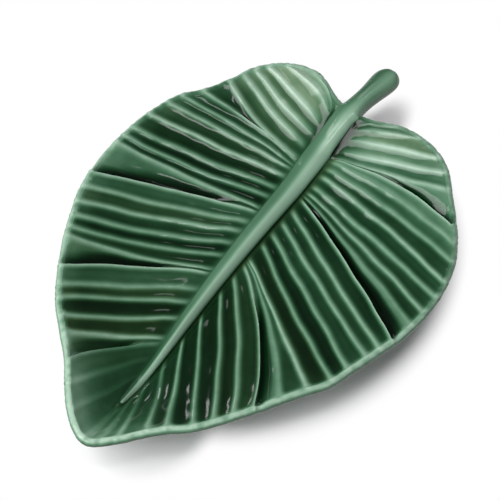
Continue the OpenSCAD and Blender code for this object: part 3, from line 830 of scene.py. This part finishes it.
class StageSettings(bpy.types.PropertyGroup):
    """Camera, lamps and floor."""

    azimuth: number("Azimuth", "Camera's turn round the dish", 35.1)
    elevation: number("Elevation", "Camera above the horizon", 55.5)
    distance: number("Distance", "Camera to the dish in mm", 520.0)
    field: number("Field", "Width of the picture at the dish in mm", 118.0)
    target_h: number("Target height", "Height looked at in mm", 12.0)
    softbox: number("Softbox", "Power of the large soft lamp in watts", 8.6)
    strip: number("Strip", "Power of the lamp overhead in watts", 0.7)
    window: number("Window", "Power of the lamp behind in watts", 0.12)
    low_window: number("Low window", "Power of the low lamp behind in watts", 0.2)
    fill: number("Fill", "Strength of the surroundings", 0.1)
    paper: triple("Paper", "Floor and backdrop", (0.95, 0.94, 0.95))
    lift: number("Paper lift", "Glow that whitens the floor", 0.07)


def leaf_sizes():
    """The sizes as the user left them."""
    return bpy.context.scene.leaf_dish_sizes


class LEAFDISH_OT_blade(bpy.types.Operator):
    """Model the pleated blade with its veins, folds and rolled lip"""

    bl_idname = "leafdish.blade"
    bl_label = "Blade"

    def execute(self, context):
        form = LeafForm(leaf_sizes())
        left = self.columns(form, -1)
        right = self.columns(form, 1)
        ring = [np.concatenate([a, b[::-1], a[:1]]) for a, b in zip(left, right)]
        places = self.with_middles(ring[0], len(left[0]))
        layers = dict(zip(("glaze_depth", "olive_tint"), map(self.padded, ring[1:])))
        places[..., :2] += form.origin
        blade = grid_skin("blade", places, layers)
        hand_over(blade, "leaf_blade", blade_glaze(context.scene.leaf_dish_colours))
        return {"FINISHED"}

    @staticmethod
    def flute_keys(form):
        """Vein numbers of the columns, closer together near the crests."""
        x = np.arange(form.flutes * form.sizes.flute_steps + 1) / form.sizes.flute_steps
        return x - COLUMNS_CROWD * np.sin(2 * np.pi * x) / (2 * np.pi)

    def columns(self, form, side):
        """Places and glaze of one side's columns: along the blade, round the lip and underneath."""
        t = self.flute_keys(form)
        line = form.lines(side, t)
        face = self.face(form, side, t)
        lip = self.lip(form, side, t, line, face)
        return [np.concatenate(parts, axis=1) for parts in zip(face, lip, self.underside(form, line))]

    @staticmethod
    def face(form, side, t):
        """Places, glaze depth with its painted light and shade, and olive tint from the midrib to the
        lip.
        """
        s = form.sizes
        u = (np.arange(s.top_rows + 1) / s.top_rows) ** ROWS_CROWD
        at = form.spots(side, t, u)
        inside = (smooth(u / SWAYS_FROM) * smooth((1 - u) / SWAYS_TO))[None, :]
        sideways = np.stack([sway(at.place, *SWAY_X), sway(at.place, *SWAY_Y)], axis=-1)
        p = at.place + sideways * (inside * s.unevenness)[..., None]
        z = form.upper_z(at) + sway(p, *RISE_AND_FALL) * inside * s.ripple
        return with_heights(p, z), form.upper_glaze_and_painted_light(at), form.upper_olive(at)

    @staticmethod
    def lip(form, side, t, line, face):
        """Places, glaze depth and olive tint round the lip, which follows the face's last row."""
        s = form.sizes
        angle = np.linspace(s.lip_shoulder, s.lip_foot, s.lip_rows)[1:]
        turn = np.radians(angle)
        wave = s.lip_wave * (1 + sway(line[4], *LIP_SWAY)[:, None]) / 2
        wave = wave + s.lip_bumps * (1 + sway(line[4], *LIP_BUMPS)[:, None]) / 2
        inward = s.lip_r * (1 - np.cos(turn))[None, :] + wave
        p = line[4][:, None, :] - line[3][:, None, :] * inward[..., None]
        over = ramp(angle, SINKS_FROM, s.lip_shoulder - SINKS_FROM)[None, :]
        sunk = form.lip_h - face[0][:, -1:, 2]
        z = form.rim_h - s.lip_r * (1 - np.sin(turn))[None, :] - sunk * mix(REST_SINKS, 1, over) - wave
        follows = form.runs_over(side, t)[:, None] * ramp(angle, *GLAZE_OVER_LIP)[None, :]
        glaze = np.interp(angle, *zip(*LIP_GLAZE))[None, :]
        glaze = mix(glaze, face[1][:, -1:] * FLUTE_OVER_LIP, follows)
        glaze = glaze + LIP_DROPS * np.maximum(sway(p, *DROPS), 0)
        return with_heights(p, z), glaze, np.zeros(z.shape)

    @staticmethod
    def underside(form, line):
        """Places, glaze depth and olive tint from the lip back to the midrib."""
        shares = np.linspace(1, 0, form.sizes.under_rows)
        p, z = form.along(line, shares), form.under_z(line, shares)
        return with_heights(p, z), np.full(z.shape, UNDER_GLAZE), np.zeros(z.shape)

    @staticmethod
    def with_middles(ring, count):
        """Adds a first and a last row on the middle line, so that both sides meet there."""
        partner = np.concatenate([np.arange(2 * count)[::-1], [2 * count - 1]])
        middle = (ring + ring[partner]) / 2
        return np.concatenate([middle[:, :1], ring, middle[:, -1:]], axis=1)

    @staticmethod
    def padded(layer):
        """Repeats a layer's first and last rows for the middle lines."""
        return np.concatenate([layer[:, :1], layer, layer[:, -1:]], axis=1)


class LEAFDISH_OT_midrib(bpy.types.Operator):
    """Model the midrib on its seat and the stem with its rounded end"""

    bl_idname = "leafdish.midrib"
    bl_label = "Midrib and stem"

    def execute(self, context):
        form = LeafForm(leaf_sizes())
        rings = self.seated(form)
        rings = np.concatenate([rings, self.free(form, rings[-1])])
        rings = np.concatenate([rings, rings[:, :1]], axis=1)
        rings[..., :2] += form.origin
        rib = grid_skin("midrib", rings, {"glaze_depth": self.glaze(rings)})
        bpy.ops.object.modifier_add(type="SUBSURF")
        rib.modifiers[-1].levels = rib.modifiers[-1].render_levels = 2
        bpy.ops.object.modifier_apply(modifier=rib.modifiers[-1].name)
        hand_over(rib, "stem_midrib", rib_glaze(context.scene.leaf_dish_colours))
        return {"FINISHED"}

    @staticmethod
    def glaze(rings):
        """Glaze depth round each ring: by its facets, with painted light and shade, more on the stem and
        on the tip's left flank.
        """
        y = rings[..., 1]
        past_notch = ramp(y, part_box("leaf_blade")[1][1] / MM - STEM_BLEND, STEM_BLEND)
        on_flank = ramp(-y, -FLANK_FROM, FLANK_RUN) * (np.arange(rings.shape[1]) < FLANK_PLACES)
        return np.array(RIB_GLAZE_AND_LIGHT) + STEM_GLAZE * past_notch + FLANK_GLAZE * on_flank

    @staticmethod
    def top(form, y):
        """Height of the midrib's top: over the floor, up to the notch and level along the stem."""
        s = form.sizes
        to_end = np.minimum((form.seat_top + NOTCH_RUN_OUT - y) / END_REACH, 1)
        floor = np.where(y > 0, mix(form.floor_z, form.lip_h, (1 - to_end) ** 2), form.seat_z(y))
        over = floor + s.rib_h * mix(TIP_SHARE, 1, ramp(y, form.seat_end, RIB_RISES))
        return -s.stem_ease * np.log(np.exp(-over / s.stem_ease) + np.exp(-form.stem_top / s.stem_ease))

    def seated(self, form):
        """Rings of the midrib where it lies on the blade, from the tip to the notch's lip."""
        t = np.linspace(form.flutes, 0, SEAT_RINGS)
        left, right = (form.lines(side, t)[0] for side in (-1, 1))
        rings = [self.ring(form, a, b, form.seat_z(np.array([a[1], b[1]]))) for a, b in zip(left, right)]
        ends = [form.lines(side, np.zeros(1)) for side in (-1, 1)]
        for u in np.linspace(0.1, 1, NOTCH_RINGS):
            a, b = (form.along(line, [u])[0, 0] for line in ends)
            height = mix(form.seat_z(form.seat_top), form.lip_h, u ** form.sizes.bowl_power)
            rings.append(self.ring(form, a, b, np.array([height, height])))
        return np.array(rings)

    def ring(self, form, a, b, seat):
        """One ring of the midrib between its left corner a and right corner b."""
        middle, half = (a + b) / 2, (b - a) / 2
        low, top = seat.mean(), float(self.top(form, middle[1]))
        towards_stem = float(ramp(middle[1], form.seat_top - STEM_BLEND, STEM_BLEND))
        over = []
        for (x, h), (stem_x, stem_h) in zip(RIB_SECTION, STEM_SECTION[1:-1]):
            height = max(top - (1 - stem_h) * form.sizes.stem_t, low + LEAST_RIB)
            place = middle + half * mix(x, stem_x, towards_stem)
            over.append((*place, mix(low + (top - low) * h, height, towards_stem)))
        return [(*a, seat[0]), *over, (*b, seat[1])]

    def free(self, form, last):
        """Rings of the stem beyond the blade."""
        s = form.sizes
        start = last[:, 1].mean()
        rings = []
        for along, wide in STEM_STATIONS:
            y = mix(start, form.stem_end - form.origin[1], along)
            tall = s.stem_t * mix(1, math.sqrt(wide), float(ramp(along, *END_THINS)))
            low = float(self.top(form, y)) - s.stem_t / 2 - tall / 2
            x = float(form.rib_x(y))
            rings.append([(x + s.club_w / 2 * wide * q, y, low + tall * h) for q, h in STEM_SECTION])
        return np.array(rings)


class LEAFDISH_OT_foot(bpy.types.Operator):
    """Model the low oval foot ring with its eased edges"""

    bl_idname = "leafdish.foot"
    bl_label = "Foot ring"

    def execute(self, context):
        low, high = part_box("foot_ring")
        middle, half = (Vector(low) + Vector(high)) / 2, (Vector(high) - Vector(low)) / 2
        sizes = leaf_sizes()
        # A round slice is drawn out to an oval, hollowed and raised, and its edges are eased
        bpy.ops.mesh.primitive_circle_add(vertices=96, radius=half.x, fill_type="NGON",
                                          location=(middle.x, middle.y, 0))
        foot = named("foot")
        run = half.y - half.x
        for v in foot.data.vertices:
            v.co.y += math.copysign(run, v.co.y) if abs(v.co.y) > MM * 0.01 else 0
        bpy.ops.object.mode_set(mode="EDIT")
        bpy.ops.mesh.select_all(action="SELECT")
        bpy.ops.mesh.inset(thickness=sizes.foot_wall * MM)
        bpy.ops.mesh.delete(type="FACE")
        bpy.ops.mesh.select_all(action="SELECT")
        bpy.ops.mesh.extrude_region_move(TRANSFORM_OT_translate={"value": (0, 0, high[2])})
        bpy.ops.mesh.select_all(action="SELECT")
        bpy.ops.mesh.normals_make_consistent(inside=False)
        bpy.ops.object.mode_set(mode="OBJECT")
        bevel = foot.modifiers.new("eased", "BEVEL")
        bevel.width, bevel.segments, bevel.limit_method = sizes.foot_ease * MM, 3, "ANGLE"
        bpy.ops.object.modifier_apply(modifier=bevel.name)
        clay = foot_clay(context.scene.leaf_dish_colours, sizes.glaze_line * MM)
        hand_over(foot, "foot_ring", clay, 40)
        return {"FINISHED"}


class LEAFDISH_OT_stage(bpy.types.Operator):
    """Set up the floor, the lamps and the camera"""

    bl_idname = "leafdish.stage"
    bl_label = "Stage"

    def execute(self, context):
        stage = context.scene.leaf_dish_stage
        form = LeafForm(leaf_sizes())
        target = Vector((*form.origin, stage.target_h)) * MM
        self.floor(stage, form)
        self.camera(stage, target)
        for name, (turn, *placed) in LAMPS.items():
            self.lamp(name, getattr(stage, name), target, stage.azimuth + turn, *placed)
        self.world(stage)
        context.scene.view_settings.view_transform = "Standard"
        return {"FINISHED"}

    @staticmethod
    def floor(stage, form):
        """The floor and the round backdrop, of one paper."""
        paper = floor_paper(stage.paper, stage.lift, form.origin * MM)
        bpy.ops.mesh.primitive_plane_add(size=FLOOR_W, location=(0, 0, 0))
        floor = named("floor")
        bpy.ops.mesh.primitive_cylinder_add(vertices=96, radius=BACKDROP_R, depth=BACKDROP_H,
                                            end_fill_type="NOTHING", location=(0, 0, BACKDROP_H / 2))
        backdrop = named("backdrop")
        for sheet in (floor, backdrop):
            sheet.data.materials.append(paper)
            sheet.select_set(False)

    @staticmethod
    def place_round(thing, target, azimuth, elevation, distance):
        """Puts a camera or a lamp at this bearing, height and distance from a target, facing it."""
        a, e = math.radians(azimuth), math.radians(elevation)
        back = Vector((math.sin(a) * math.cos(e), -math.cos(a) * math.cos(e), math.sin(e)))
        thing.location = target + back * distance
        thing.rotation_euler = (-back).to_track_quat("-Z", "Y").to_euler()
        thing.select_set(False)

    def camera(self, stage, target):
        """The camera, at the photograph's angle."""
        bpy.ops.object.camera_add()
        camera = bpy.context.object
        self.place_round(camera, target, stage.azimuth, stage.elevation, stage.distance * MM)
        camera.data.sensor_width = 36.0
        camera.data.lens = camera.data.sensor_width * stage.distance / stage.field
        camera.data.clip_start, camera.data.clip_end = 0.01, 60.0
        bpy.context.scene.camera = camera

    def lamp(self, name, power, target, azimuth, elevation, distance, size):
        """A rectangular lamp that faces the dish."""
        bpy.ops.object.light_add(type="AREA")
        lamp = bpy.context.object
        lamp.name = lamp.data.name = name
        self.place_round(lamp, target, azimuth, elevation, distance)
        lamp.data.shape = "RECTANGLE"
        lamp.data.size, lamp.data.size_y = size
        lamp.data.energy = power

    @staticmethod
    def world(stage):
        """Faint, even light from all round."""
        world = bpy.data.worlds.new("surroundings")
        world.use_nodes = True
        background = world.node_tree.nodes["Background"]
        background.inputs["Color"].default_value = (0.95, 0.97, 1.0, 1.0)
        background.inputs["Strength"].default_value = stage.fill
        bpy.context.scene.world = world


class LEAFDISH_PT_panel(bpy.types.Panel):
    """The dish's pieces and stage in the sidebar"""

    bl_idname = "LEAFDISH_PT_panel"
    bl_label = "Leaf dish"
    bl_space_type = "VIEW_3D"
    bl_region_type = "UI"
    bl_category = "Leaf dish"

    def draw(self, context):
        for operator in OPERATORS:
            self.layout.operator(operator.bl_idname)
        for group in (context.scene.leaf_dish_sizes, context.scene.leaf_dish_colours,
                      context.scene.leaf_dish_stage):
            box = self.layout.box()
            for key in group.__annotations__:
                box.prop(group, key)


OPERATORS = (LEAFDISH_OT_blade, LEAFDISH_OT_midrib, LEAFDISH_OT_foot, LEAFDISH_OT_stage)
CLASSES = (LeafSizes, GlazeColours, StageSettings, *OPERATORS, LEAFDISH_PT_panel)


def register():
    for cls in CLASSES:
        bpy.utils.register_class(cls)
    bpy.types.Scene.leaf_dish_sizes = PointerProperty(type=LeafSizes)
    bpy.types.Scene.leaf_dish_colours = PointerProperty(type=GlazeColours)
    bpy.types.Scene.leaf_dish_stage = PointerProperty(type=StageSettings)


def unregister():
    del bpy.types.Scene.leaf_dish_stage
    del bpy.types.Scene.leaf_dish_colours
    del bpy.types.Scene.leaf_dish_sizes
    for cls in reversed(CLASSES):
        bpy.utils.unregister_class(cls)


def main():
    """Makes the dish and its stage."""
    register()
    bpy.ops.leafdish.blade()
    bpy.ops.leafdish.midrib()
    bpy.ops.leafdish.foot()
    bpy.ops.leafdish.stage()


if __name__ == "__main__":
    main()
